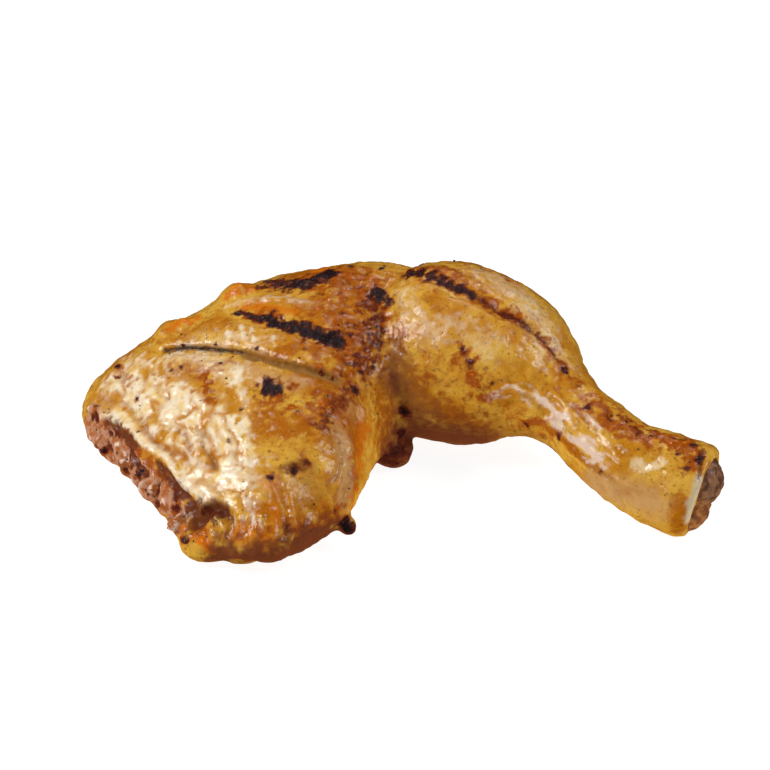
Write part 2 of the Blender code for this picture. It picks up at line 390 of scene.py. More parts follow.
burnt = layered(
    (0.35, smudge(3.0, ((59, -16, 29), (64, -20, 28), (70, -25, 27)), rag=0.8)),
    (0.38, smudge(7, ((-5, 19, 43), (-5, 8, 39), (-7, 0, 36)), rag=0.9)),
    (0.34, smudge(3.6, ((-10, -9, 33), (-14, -17, 32), (-18, -25, 31)), rag=0.9)),
    # The next three smudges are painted shade, darkened as crust: under the knee, in the nub's cavity and
    # along a crevice.
    (0.6, smudge(7, ((0, -4, 6), (3, -3, 8)))),
    (0.4, smudge(4.5, ((-49, -41, 15), (-46, -44, 15), (-43, -46, 16)), rag=0.35)),
    (0.3, smudge(2.0, ((-61, -25, 18), (-56, -32, 16), (-52, -38, 15)), rag=0.6)),
    (0.75, smudge(1.4, BAR[:4], end=2.8, rag=0.6)),
    smudge(3.5, BAR[3:], end=4.4, rag=0.6),
    (0.95, smudge(5.8, CROWN_BURN, end=5.0, rag=0.6)),
    (0.6, smudge(4.4, ((-35, 33, 42), (-29, 32, 44)), rag=0.7)),
    (0.8, smudge(4.0, DRUM_BAR[:5], end=2.2, rag=0.7)),
    (0.36, smudge(1.9, DRUM_BAR[4:], end=1.3, rag=0.7)),
    smudge(4.4, THIGH_SPOT),
    smudge(3.8, KNEE_SPOT),
    *[(0.5 + 0.15 * size, smudge(1.35 * size, (place,))) for size, place in SPOTS],
)
haloes = layered(
    *[(0.8, smudge(2.4 * size, (place,), rag=0.6)) for size, place in SPOTS if size > SMALLEST_HALO],
)
print_means(burnt=burnt, haloes=haloes)

# %% [markdown]
# Before any colour the skin gets its shape, because oil shines on every small slope. The longest folds
# have names, since colours follow their paths later on: the slit, the lip over the cut hip and the
# wrinkles above it, the crevices in the torn meat and above the small nub, the fold down the near edge
# and the white tendon of the shank, whose white is partly a painted highlight.
# %% Folds and grooves: the named paths
SLIT = (
    (-63, 14, 31), (-58, 12, 33), (-52, 10, 34), (-46, 7, 35),
    (-41, 4, 36), (-33, -1, 36), (-22, -6, 36), (-14, -8, 34),
)
LIP = (
    (-82, 4, 18), (-78, -1, 18), (-75, -5, 19), (-69, -13, 20), (-65, -18, 20),
    (-61, -22, 20), (-58, -26, 19), (-55, -33, 18), (-50, -38, 18),
)
WRINKLE = (
    (-82, 9, 19), (-77, 4, 21), (-72, -1, 22), (-68, -8, 22),
    (-62, -20, 21), (-55, -26, 22), (-49, -32, 22), (-46, -33, 23),
)
SHORT_WRINKLES = (
    ((-57, -17, 25), (-54, -22, 25), (-52, -26, 23)),
    ((-50, -21, 26), (-48, -28, 25), (-46, -32, 24), (-45, -36, 23)),
)
CREVICES = (
    ((-78, -2, 17), (-75, -6, 18), (-73, -10, 18), (-69, -15, 18)),
    ((-70, -15, 15), (-68, -18, 14), (-66, -21, 13)),
    ((-61, -25, 18), (-58, -29, 17), (-56, -32, 16), (-55, -34, 15), (-53, -37, 15), (-51, -40, 14)),
)
NUB_CREVICE = (
    (-51, -40, 13), (-50, -43, 11), (-48, -43, 14), (-45, -44, 17),
    (-43, -46, 17), (-41, -48, 16), (-40, -50, 14),
)
FOLD = ((-28, -40, 23), (-27, -44, 19), (-26, -47, 17), (-26, -50, 14))
# A tendon ridge on the shank; its white is partly a painted highlight.
WHITE_TENDON = (
    (28, -5, 27), (34, -5, 29), (40, -7, 28), (45, -11, 26), (49, -17, 24), (53, -22, 22), (58, -28, 20),
)
HIP_LUMPS = (
    (2.2, (-72, -13, 11)), (2.4, (-69, -19, 9)), (1.8, (-65, -20, 16)), (2.2, (-63, -25, 11)),
    (1.9, (-60, -28, 13)), (2.0, (-57, -33, 10)), (1.8, (-55, -38, 11)), (1.6, (-74, -9, 14)),
    (2.0, (-82, 3, 10)),
)
# Short ridges beside the bar; their white is a painted highlight.
STREAKS_BY_BAR = [
    ((x, y + 2, z), (x + 1, y - 3, z - 1))
    for x, y, z in ((-45, 12, 38), (-41, 11, 39), (-38, 9, 39), (-32, 5, 40), (-27, 6, 40))
]
print("slit has", len(SLIT), "places and the cut hip", len(HIP_LUMPS), "lumps")

# %% [markdown]
# A fold is skin that shrank and bunched up over fat, a groove is a crease or a cut, and a lump at the cut
# hip is a torn end of meat. A sculpting brush would make them too, but as rows of a table each can be
# found again: a height in millimetres, a half width and a path. A minus sign makes a groove.
# %% Folds and grooves: their heights
FOLDS = (
    (-1.3, 0.9, SLIT),
    (0.5, 1.6, ((-60, 8, 33), (-50, 4, 35), (-40, -1, 37), (-30, -7, 37))),
    (0.5, 1.6, LIP),
    (-0.9, 1.7, WRINKLE),
    (1.6, 1.4, ((-57.5, -40.5, 9), (-55, -42, 10))),
    (-1.2, 1.6, SHORT_WRINKLES[0]),
    (-1.2, 1.5, SHORT_WRINKLES[1]),
    (0.7, 1.3, ((-79, 7, 21), (-74, 1, 22), (-70, -4, 22))),
    (0.6, 1.2, ((-76, 9, 23), (-70, 3, 24), (-65, -3, 24))),
    (0.7, 2.6, ((-60, -10, 26), (-55, -16, 26), (-52, -21, 25))),
    (0.7, 2.4, ((-46, -18, 30), (-43, -27, 28), (-42, -34, 25))),
    (0.6, 1.1, ((-41, -6, 35), (-39, -14, 33), (-37, -24, 30))),
    (0.5, 1.1, ((-37, -27, 29), (-37, -34, 26), (-36, -42, 22))),
    (0.6, 1.2, ((-35, -16, 33), (-34, -20, 32), (-33, -23, 31))),
    (-0.5, 1.2, ((-63, -4, 28), (-58, -10, 28), (-54, -18, 27))),
    (0.7, 2.2, ((-52, -34, 20), (-49, -38, 20), (-46, -41, 19))),
    (-0.5, 1.0, ((-48, -36, 22), (-44, -41, 20), (-40, -45, 19))),
    *[(-1.6, 1.9, path) for path in CREVICES],
    (-2.6, 2.6, NUB_CREVICE),
    (1.6, 2.2, ((-49, -45, 8), (-46, -48, 8), (-43, -50, 8))),
    (0.8, 1.0, ((-48, -46, 12), (-45, -49, 11))),
    *[(1.0, size, (place,)) for size, place in HIP_LUMPS],
    (-0.6, 1.7, FOLD),
    (1.0, 3.4, ((-31, -39, 23), (-30, -43, 21), (-29, -47, 17), (-29, -50, 14))),
    (-1.2, 1.6, ((-25, -37, 24), (-23, -37, 24))),
    (-0.6, 1.3, ((-30, -38, 25), (-27, -37, 25), (-22, -35, 25))),
    (0.5, 1.8, ((-10, -24, 25), (-11, -30, 23), (-13, -36, 20), (-15, -41, 15))),
    (0.35, 1.4, ((-13, -28, 26), (-15, -34, 22), (-17, -40, 18))),
    (-0.4, 1.6, ((-13, -26, 26), (-14, -32, 23), (-16, -38, 19), (-20, -43, 15))),
    (0.5, 1.0, ((-9, -30, 19), (-10, -36, 14))),
    *[(0.7, 0.8, ((x, -48.5, 19), (x, -50, 16))) for x in (-38, -36, -34, -32)],
    (0.9, 1.7, ((-44, 25, 40), (-34, 23, 43), (-27, 20, 44), (-23, 16, 44))),
    (1.5, 4.2, ((-43, 31, 41),)),
    (1.3, 4.4, ((-58, 23, 35),)),
    (0.8, 4.0, CROWN_BURN),
    *[(0.45, 0.9, streak) for streak in STREAKS_BY_BAR],
    (0.7, 1.2, WHITE_TENDON),
    (0.6, 1.0, ((47, -9, 30), (52, -15, 28), (55, -20, 27))),
    (-0.6, 1.0, ((45, -6, 31), (49, -12, 29), (55, -21, 26))),
    (0.5, 1.1, ((38, -9, 23), (44, -12, 23), (49, -17, 22), (54, -24, 19))),
    (-0.4, 1.0, ((35, -7, 24), (43, -12, 23), (50, -20, 21))),
    (0.6, 1.2, ((56, -17, 29), (60, -22, 27), (66, -26, 27))),
    (-0.5, 1.1, ((58, -19, 28), (63, -24, 27), (70, -28, 26))),
    (0.5, 1.5, ((71, -24, 27), (76, -28, 28))),
    (-0.8, 1.2, ((82, -30, 26), (81, -34, 25), (80, -38, 22))),
    (0.6, 2.0, ((10, 24, 51), (16, 26, 51), (22, 21, 50))),
    (-0.6, 1.1, DRUM_BAR[2:]),
    (-0.4, 1.5, ((-5, 25, 46), (-2, 10, 40), (-3, 0, 32))),
)
END_SHARE = 0.35


def raised(height, width, path):
    """The lift of one fold in mm: full in its middle, less at its ends, none past its half width."""
    near, gap, place = away(path, width)
    lift = np.zeros(len(points))
    ends = END_SHARE + (1 - END_SHARE) * np.sin(math.pi * np.clip(place, 0, 1)) ** 0.6
    lift[near] = height * ends * (1 - np.minimum(gap / (width * (1 + 0.25 * ragged[near])), 1) ** 2) ** 2
    return lift


folds = sum(raised(*row) for row in FOLDS)
print("folds", len(FOLDS), "from", round(float(folds.min()), 2), "to", round(float(folds.max()), 2), "mm")

# %% [markdown]
# Between the folds each part has its own grain. The thigh's left face is tight plates with creases
# between them, the shank is stringy, the knee is blistered and the cut hip is torn meat. One noise for
# all would look like plaster, so noise is stretched into strings, divided into cells for plates and
# pimples, and left plain for lumps.
# %% Grain of the skin: the kinds and where they lie
FOLD_ALONG = Vector((0.60, -0.78, -0.16)).normalized()
SHANK_ALONG = Vector((0.74, -0.65, -0.16)).normalized()
STRING_STIR = 0.45
PLATE_STIR = 0.25


def stretched(along, length, breadth):
    """The skin's points, measured in lengths along a direction and in breadths across it."""
    across = Vector((0, 0, 1)).cross(along).normalized()
    basis = np.array([along / length, across / breadth, along.cross(across) / breadth])
    return points @ basis.T


def strings(along, length, breadth, shift=0.0):
    """Ridges that run one way."""
    return noise_at(stretched(along, length, breadth) + STRING_STIR * wander + shift)


def plates(along, length, breadth, shift=0.0):
    """1 on flat plates of tight skin and 0 in the creases between them, which run one way."""
    where = stretched(along, length, breadth) + PLATE_STIR * wander + shift
    gaps = [noise.voronoi(Vector(p))[0] for p in where]
    return soft(np.array([gap[1] - gap[0] for gap in gaps]), 0.02, 0.26)


def pimples(spacing):
    """Round bumps of skin, about 1 in their middles and 0 between them."""
    gaps = [noise.voronoi(Vector(p))[0][0] for p in points / spacing + 0.3 * wander]
    return 1 - soft(np.array(gaps), 0.05, 0.6)


loose = layered(
    stroke(15, ((-76, 8, 23), (-64, -4, 27), (-55, -16, 27), (-47, -28, 24), (-42, -38, 20)),
        rag=0.15, crisp=0.8),
    stroke(9, ((-60, 2, 31), (-46, -14, 31), (-38, -30, 27)), rag=0.15, crisp=0.8),
)
sinewy = stroke(15, ((36, -2, 30), (46, -10, 26), (56, -22, 22), (64, -29, 20)), rag=0.1, crisp=0.8)
torn = layered(
    stroke(9.5, ((-84, 3, 12), (-76, -9, 12), (-64, -25, 11), (-55, -38, 9)), end=6, rag=0.25),
    (0.8, smudge(4.5, ((-70, -12, 16), (-65, -19, 15), (-60, -26, 15), (-56, -33, 13)), rag=0.6)),
)
blistered = layered(
    stroke(9, ((-8, 28, 46), (-5, 14, 42), (-4, 4, 36), (-8, -4, 34)), crisp=0.8),
    stroke(9, ((-16, 24, 45), (-10, 12, 42), (-14, 2, 39)), crisp=0.8),
    stroke(7, ((-33, 31, 43), (-16, 29, 46)), crisp=0.8),
    (0.7, stroke(6, ((4, 30, 48), (16, 26, 50), (26, 20, 48)), crisp=0.8)),
    (0.6, smudge(6, ((-50, -44, 11), (-46, -49, 7), (-42, -53, 6)), rag=0.35)),
    (0.7, stroke(5, ((60, -20, 28), (70, -26, 27), (79, -31, 27)), crisp=0.8)),
    (0.6, stroke(8, ((-36, -46, 19), (-30, -52, 15), (-20, -48, 14), (-12, -38, 16)), crisp=0.8)),
)
plated = plates(FOLD_ALONG, 13.0, 6.0)
cords = strings(SHANK_ALONG, 16.0, 2.8, 4.0)
threads = strings(SHANK_ALONG, 12.0, 1.6)
print_means(loose=loose, sinewy=sinewy, torn=torn, blistered=blistered, plated=plated)

# %% [markdown]
# Now the skin is pushed out by the sum of its folds and grains. Bump in the finish would show in the
# render only, so the points themselves are moved. The relief fades out just above the table, because the
# underside was pressed flat. Which places end up low or high is kept, for painted shade in the hollows
# and a painted highlight on the crests of the torn meat.
# %% Grain of the skin: pushed into the mesh
# How high above the table the relief starts and is full, in mm, and the mean of the pimples.
FLAT_BELOW = 0.3
FULL_ABOVE = 2.5
PIMPLE_MEAN = 0.4

# Each term is a height in mm times a noise, whose first number is the size of its features in mm.
relief = folds + 0.30 * grain(3.6, 2.0) + 0.14 * grain(1.8, 5.0) + 0.24 * (pimples(3.4) - PIMPLE_MEAN)
crumpled = 0.42 * strings(FOLD_ALONG, 16.0, 4.0)
crinkled = 0.20 * strings(FOLD_ALONG, 9.0, 2.2, 9.0)
relief += loose * (0.3 * (plated - 0.7) + crumpled + crinkled + 0.10 * grain(2.2, 4.0))
relief += sinewy * (0.70 * cords + 0.45 * threads)
relief += torn * (1.15 * grain(3.6, 11.0) + 0.45 * grain(2.1, 4.0) + 0.4 * (pimples(3.8) - PIMPLE_MEAN))
relief += blistered * (0.45 * grain(2.6, 6.0) + 0.25 * grain(1.5, 8.0) + 0.55 * (pimples(2.6) - PIMPLE_MEAN))
relief += burnt * (0.7 * grain(1.7, 1.0) + 0.1)
height = relief + 0.35 * grain(8.0)
# Masks for painted shade in the hollows and a painted highlight on the crests.
hollow = soft(-relief, 0.05, 0.75)
crest = soft(relief, 0.05, 0.85)
shaped = points + outward * (height * soft(points[:, 2], FLAT_BELOW, FULL_ABOVE))[:, None]
shaped[:, 2] = np.maximum(shaped[:, 2], 0)
skin.data.vertices.foreach_set("co", (shaped * MM).ravel())
skin.data.update()
print("heights", round(float(height.min()), 2), "to", round(float(height.max()), 2), "mm")

# %% [markdown]
# Colour comes in zones. Each is a mask of soft strokes, painted on the points and mixed in the finish, so
# one zone can be changed without touching the rest. The first is cream, where skin lies over fat: it
# covers the plates of the thigh's left face and lies in faint patches elsewhere. It is partly painted
# light: on the left face it also stands for the broad shine there, the pale patches on the drumstick are
# painted sheen, and thin lines along the lip, down the fold ridges, on the ridge above the bar and in short
# streaks beside the bar are painted highlights.
# %% Pale zones: cream and painted sheen
cream = layered(
    # These strokes of the left face are cream and painted sheen of its broad shine.
    (0.95, stroke(15, ((-74, 6, 24), (-62, -6, 27), (-53, -16, 28), (-46, -26, 26), (-43, -36, 21)),
        rag=0.5, crisp=0.9)),
    stroke(6.5, ((-59, -9, 27), (-56, -14, 26))),
    stroke(5, ((-46, -19, 30), (-42, -28, 27), (-44, -33, 24))),
    stroke(4.5, ((-52, -35, 19), (-48, -38, 19))),
    (0.8, stroke(3, ((-76, -2, 20), (-70, -10, 20)))),
    # Painted highlight along the lip.
    (0.8, stroke(1.8, LIP)),
    (0.25, stroke(5, ((-81, 9, 20), (-78, 11, 23), (-75, 15, 26)))),
    (0.55, stroke(7, ((-60, 8, 32), (-50, 1, 34), (-43, -5, 35)), rag=0.5)),
    # The next two are painted highlights down fold ridges.
    (0.6, stroke(2.0, ((-41, -6, 35), (-39, -16, 33), (-38, -26, 29)), rag=0.5)),
    (0.6, stroke(2, ((-37, -30, 28), (-36, -42, 22)), rag=0.6)),
    # Painted highlight on the ridge above the bar.
    (0.45, smudge(3.0, ((-46, 25, 40), (-34, 24, 43), (-27, 21, 44), (-22, 17, 44)), rag=0.8)),
    # Painted highlights: short streaks beside the bar.
    *[(0.7, smudge(1.2, streak, rag=0.7)) for streak in STREAKS_BY_BAR[:4]],
    # The next three smudges are painted sheen on the drumstick.
    (0.4, smudge(7, ((4, 21, 46), (5, 15, 46), (8, 9, 44), (12, 4, 41)))),
    (0.35, smudge(9, ((18, 6, 44), (28, 0, 40)))),
    (0.45, smudge(9, ((26, 26, 46), (34, 18, 42), (42, 9, 36)), rag=0.35)),
    (0.4, smudge(8, ((-54, 10, 35), (-46, 9, 37), (-36, 5, 39)))),
    (0.4, smudge(5, ((-35, -47, 20), (-31, -41, 23)))),
    (0.5, stroke(2.2, ((64, -31, 22), (68, -33, 22), (71, -33, 24)), rag=0.6)),
    (0.5, stroke(3.2, ((-8, -14, 27),))),
    # Painted sheen on the drumstick.
    (0.25, smudge(6, ((34, 12, 40), (44, 4, 35), (50, 2, 28)), rag=0.35)),
)
streaks = soft(strings(FOLD_ALONG, 18.0, 3.6, 21.0), 0.08, 0.40)
cream = cream * (1 - 0.5 * loose * streaks)
print_means(cream=cream)

# %% [markdown]
# Along the shank the skin is so thin that white tendons show through it, and their pinkish white is
# also a painted highlight of the shine along them. Short streaks of the same white on the near edge and
# beside the pocket are painted highlights on small ridges. A plain band would look like paint, so it's cut
# into streaks by the same cords and threads that shaped the shank.
# %% Pale zones: tendons and painted highlights
# Short ridges at the near edge, whose white is a painted highlight.
THREADS_AT_EDGE = ((-40, -47, 17), (-37.5, -49, 18), (-35, -49, 18.5), (-33, -50, 17.5))
# Tendon white, and painted highlights along the shank and on small ridges.
tendon = layered(
    smudge(3.2, WHITE_TENDON, end=6.0, rag=0.6),
    (0.8, smudge(1.6, ((49, -11, 29), (53, -17, 28), (56, -21, 26)), rag=0.6)),
    (0.8, smudge(1.6, ((38, -9, 22), (44, -12, 22), (49, -17, 23)), rag=0.6)),
    (0.7, smudge(2.4, ((64, -22, 27), (69, -27, 27)), rag=0.8)),
    *[(0.8, smudge(1.1, ((x, y, z), (x + 0.5, y - 2, z - 2)))) for x, y, z in THREADS_AT_EDGE],
    (0.35, smudge(2.5, ((-10, -30, 21), (-10, -36, 16)), rag=0.6)),
    (0.25, smudge(3, ((-9, -14, 29), (-8, -20, 26)), rag=0.6)),
)
tendon = tendon * (1 - 0.75 * sinewy * (1 - soft(0.6 * cords + threads, -0.25, 0.15)))
print_means(tendon=tendon)

# %% [markdown]
# Meat that the fire never reached isn't golden. It's tan below the slit, on the ridge beside the pocket,
# down the drumstick's slope and under the shank, and olive in the open slit, in a dip at the near edge
# and deep in the pocket. An olive smudge in the gap between the thigh and the drumstick is painted shade.
# Without these quiet zones the leg would look glazed.
# %% Tan and olive zones
tan = layered(
    (0.9, smudge(5, ((-12, -27, 25), (-12, -34, 20), (-12, -38, 15)))),
    (0.9, smudge(4.5, ((-42, -3, 36), (-36, -8, 37), (-30, -12, 36), (-24, -13, 36)), rag=0.35)),
    (0.6, smudge(4, ((-12, -13, 32), (-10, -17, 30)), rag=0.35)),
    stroke(8, ((54, -28, 12), (63, -34, 14), (68, -38, 14)), rag=0.2, crisp=0.9),
    (0.5, stroke(7, ((30, 24, 40), (38, 16, 34), (46, 6, 28)), crisp=0.9)),
    (0.6, stroke(1.0, ((-10, -28, 24), (-12, -34, 21)))),
    (0.5, stroke(3, ((-12, -27, 26), (-15, -22, 29)))),
)
olive = layered(
    (0.4, smudge(5.5, ((-22, -38, 22), (-20, -40, 20)), rag=0.35)),
    (0.5, smudge(2.5, ((-24, -37, 25), (-20, -36, 25)), rag=0.35)),
    stroke(2.6, ((-40, 3, 36), (-33, -1.5, 36), (-24, -5.5, 36), (-14, -8, 34)), rag=0.2, crisp=0.9),
    # Painted shade in the gap between the thigh and the drumstick.
    (0.6, smudge(8, ((2, 8, 34), (6, 6, 26), (10, 2, 20)), rag=0.2)),
)
print_means(tan=tan, olive=olive)

# %% [markdown]
# Amber is thin skin whose fat has melted away. It runs in the wrinkles of the left face, over the middle
# of the thigh and its crown, round the pocket and down the lower sides. Four of its smudges are painted
# shade: in the gap at the knee, on the thigh's right flank and down the drumstick's near lower side. Wide,
# ragged strokes are used, because it has no edge on a real leg and fades into the gold.
# %% Amber zones, with some painted shade
amber = layered(
    (0.9, smudge(13, ((-33, -22, 31), (-26, -26, 30), (-19, -24, 30)))),
    (0.9, stroke(2.2, WRINKLE[3:], rag=0.5)),
    (0.7, stroke(1.4, WRINKLE[:4], rag=0.5)),
    (0.9, stroke(2.6, SHORT_WRINKLES[0], end=1.4)),
    (0.85, stroke(1.5, SHORT_WRINKLES[1])),
    (0.9, stroke(10, ((-20, -10, 35), (-12, -12, 33), (-9, -22, 27)), rag=0.3)),
    (0.9, stroke(12, ((-24, 34, 43), (-14, 32, 45), (-8, 22, 45)))),
    (0.9, stroke(5, ((-30, 0, 38), (-22, 1, 39), (-14, 0, 38)), rag=0.5)),
    (0.85, stroke(9, ((-22, 16, 43), (-12, 10, 42), (-8, 0, 37)), rag=0.4)),
    (0.6, stroke(5, ((-62, 18, 32), (-52, 18, 36), (-46, 16, 38)), rag=0.6)),
    (0.9, stroke(3.5, ((-36, -46, 20), (-31, -48, 18)), rag=0.4)),
    # Painted shade down the drumstick's near lower side.
    (0.95, smudge(13, ((2, 4, 26), (12, 0, 22), (24, -4, 16)), end=9, rag=0.4)),
    (0.9, smudge(9, ((-10, -30, 18), (-16, -40, 14)))),
    # The next three are painted shade: on the thigh's right flank and in the gap at the knee.
    (0.45, smudge(9, ((0, 4, 30), (-6, -6, 28), (-6, -14, 22)))),
    (0.95, smudge(7, ((2, 8, 38), (2, 4, 31), (6, 1, 29)))),
    (0.95, smudge(8, ((-1, -4, 22), (-1, -5, 16), (-2, -6, 10)), rag=0.4)),
    (0.8, smudge(7, ((-22, -46, 15), (-30, -52, 14)))),
    (0.6, stroke(4, ((10, 14, 47), (18, 8, 45)), rag=0.6)),
    (0.9, stroke(1.8, ((39, -8, 22), (47, -16, 20), (53, -24, 18), (58, -29, 16)), rag=0.3)),
    (0.8, stroke(4, ((75, -41, 17), (76, -40, 8)), rag=0.4)),
    (0.7, stroke(1.0, ((45, -6, 31), (49, -12, 29), (55, -21, 26)))),
    (0.5, stroke(5, ((58, -18, 27), (70, -28, 24)), rag=0.5)),
    (0.6, stroke(6, ((-66, 24, 28), (-74, 20, 24)), rag=0.5)),
    (0.7, stroke(9, ((-40, 46, 24), (-20, 52, 24), (0, 50, 24)), rag=0.6, crisp=0.9)),
)
print_means(amber=amber)

# %% [markdown]
# Where melted fat gathered and fried, the skin is a clear orange: on the bumps of the far rim, the nub
# and the near edge, along the ridge beside the pocket, above the bar and at the end of the shank. A
# stronger amber wouldn't do, because amber gets darker and orange stays bright.
# %% Orange zones
orange = layered(
    (0.75, smudge(5.6, ((-44, 30, 41), (-40, 32, 42)))),
    (0.7, smudge(5.2, ((-60, 22, 33), (-55, 24, 35)))),
    stroke(3.2, ((-49, -45, 10), (-46, -48, 8), (-44, -50, 6)), rag=0.4),
    stroke(1.8, ((-57, -41, 8), (-54, -42, 10)), rag=0.3),
    (0.5, smudge(4.4, ((-31, -40, 23), (-30, -45, 19), (-30, -50, 15)), rag=0.6)),
    (0.5, smudge(5.0, ((-9, -20, 24), (-8, -28, 18), (-9, -36, 13)), rag=0.6)),
    (0.8, stroke(3.0, ((-21, 38, 44), (-18, 38, 45)))),
    (0.6, stroke(2.6, ((-40, 22, 41), (-34, 19, 42), (-27, 15, 43)), rag=0.5)),
    (0.6, stroke(4.5, ((70, -25, 27), (76, -28, 26)), rag=0.5)),
    (0.6, smudge(6, ((-6, -14, 24), (-5, -23, 18), (-7, -33, 12)), rag=0.9)),
    (0.5, stroke(5, ((-38, -52, 14), (-30, -54, 12)))),
)
print_means(orange=orange)

# %% [markdown]
# Red-brown skin dried close to the bars. It rims the burnt marks, covers the ground between the bar and
# the knee, and lies in blotches down the drumstick and on the far side. The marks' own paths are used
# again with wider strokes, so a rim always follows its mark.
# %% Red-brown zones
russet = layered(
    haloes,
    smudge(9, ((-4, 20, 44), (-4, 10, 39), (-8, 2, 37))),
    (0.85, smudge(9, ((-16, 28, 46), (-8, 27, 46), (-5, 20, 44)), rag=0.6)),
    (0.7, stroke(9, ((-14, 14, 43), (-9, 4, 39), (-12, -3, 37)), rag=0.8)),
    (0.5, stroke(9, ((-22, 30, 45), (-10, 32, 46)), rag=0.9)),
    (0.6, smudge(8, ((-16, -16, 33), (-8, -22, 26), (-8, -32, 18)), rag=0.9)),
    (0.5, smudge(9, ((24, -6, 26), (34, -7, 21), (44, -12, 17)), rag=0.9)),
    (0.5, smudge(8, ((8, 6, 40), (14, 2, 36), (20, -2, 32)), rag=0.9)),
    (0.6, smudge(1.6, ((-44, 33, 42), (-40, 35, 43)), rag=0.35)),
    (0.6, smudge(1.4, ((-60, 24, 33), (-56, 26, 35)), rag=0.35)),
    (0.5, stroke(6, ((34, 10, 41), (46, 0, 34), (56, -14, 29)), rag=0.9)),
    (0.4, stroke(8, ((4, 32, 46), (20, 30, 48), (30, 22, 44)), rag=0.9)),
    (0.9, stroke(2.6, BAR[1:4], end=4.2, rag=0.5)),
    smudge(6.4, BAR[2:], end=7.4, rag=0.6),
    smudge(7.0, DRUM_BAR[:6], end=4.4, rag=0.6),
    (0.9, smudge(3.4, DRUM_BAR[5:], end=2.6, rag=0.6)),
    (0.9, smudge(5, ((7, 30, 49), (15, 26, 51), (22, 20, 50)), rag=0.6)),
    smudge(6.5, ((56, -13, 29), (62, -18, 29), (69, -24, 28), (77, -29, 27)), rag=0.8),
    (0.95, smudge(6.6, THIGH_SPOT + ((-28, -18, 33),), rag=0.6)),
    (0.9, stroke(2.6, ((-50, -4, 33), (-49, -10, 32), (-48, -14, 31)), rag=0.8)),
    (0.6, stroke(6, ((-60, 4, 31), (-50, -2, 34), (-45, -1, 36)), rag=1.0)),
    (0.95, smudge(3.6, ((-10, -9, 33), (-14, -17, 32), (-18, -25, 31)), rag=0.8)),
    (0.6, smudge(6, ((-13, -13, 32), (-22, -20, 32)), rag=0.9)),
    (0.8, smudge(4, ((-13, -40, 14), (-17, -44, 13), (-24, -49, 12)))),
    (0.6, stroke(3.0, ((-38, -50, 16), (-30, -52, 15)), rag=0.8)),
    (0.8, stroke(3.0, ((-27, -50, 13), (-22, -48, 12), (-16, -43, 11)), rag=0.4)),
    (0.9, smudge(6.5, ((-34, 32, 43), (-26, 31, 44), (-14, 33, 46)), rag=0.7)),
    (0.8, stroke(2.6, ((57, -17, 29), (60, -22, 27), (66, -26, 27)), rag=0.6)),
    (0.85, stroke(3.0, ((76, -28, 27), (78, -33, 25), (80, -35, 24)), rag=0.6)),
    (0.6, stroke(3.2, ((20, 1, 38), (24, -4, 31), (27, -6, 28)), rag=0.8)),
    (0.5, stroke(1.4, ((36, -8, 21), (42, -11, 22)), rag=0.5)),
    (0.6, stroke(2.0, ((-76, 14, 25), (-70, 4, 25)), rag=0.8)),
    (0.6, stroke(1.5, CREVICES[0])),
    (0.95, smudge(3.4, ((-73, -8, 18), (-66, -19, 17), (-60, -26, 17), (-56, -32, 15), (-53, -37, 14)),
        rag=0.6)),
    (0.7, smudge(9, ((-14, 50, 32), (-28, 46, 34), (-42, 40, 34)), rag=1.0)),
    (0.6, smudge(7, ((-50, 42, 20), (-30, 54, 16), (-6, 54, 16)), rag=1.0)),
    (0.6, smudge(8, ((10, 44, 30), (26, 34, 26), (42, 18, 20)), rag=1.0)),
    (0.5, stroke(5, ((20, 34, 42), (30, 27, 38), (36, 20, 34)), rag=0.9)),
    (0.4, stroke(8, ((-76, 18, 10), (-60, 34, 10), (-40, 46, 8)), rag=0.8)),
)
print_means(russet=russet)

# %% [markdown]
# Low and deep places are darkened with painted shade: the underside, under the drumstick and the knee,
# the crevices of the cut hip, the cavity above the nub, the creases of the left face and the bottom of
# the pocket. The slit is painted nearly black inside, as shade in the cut, and a pale band of gristle
# closes the shank. Shadow alone would leave them too clean, so the shade is painted as a colour too.
# %% Dark zones: painted shade
# Painted shade on the faces turned down, less of it towards the shank end.
lowest = soft(-outward[:, 2], -0.15, 0.75) * (1 - 0.6 * soft(points[:, 0], 40, 58))
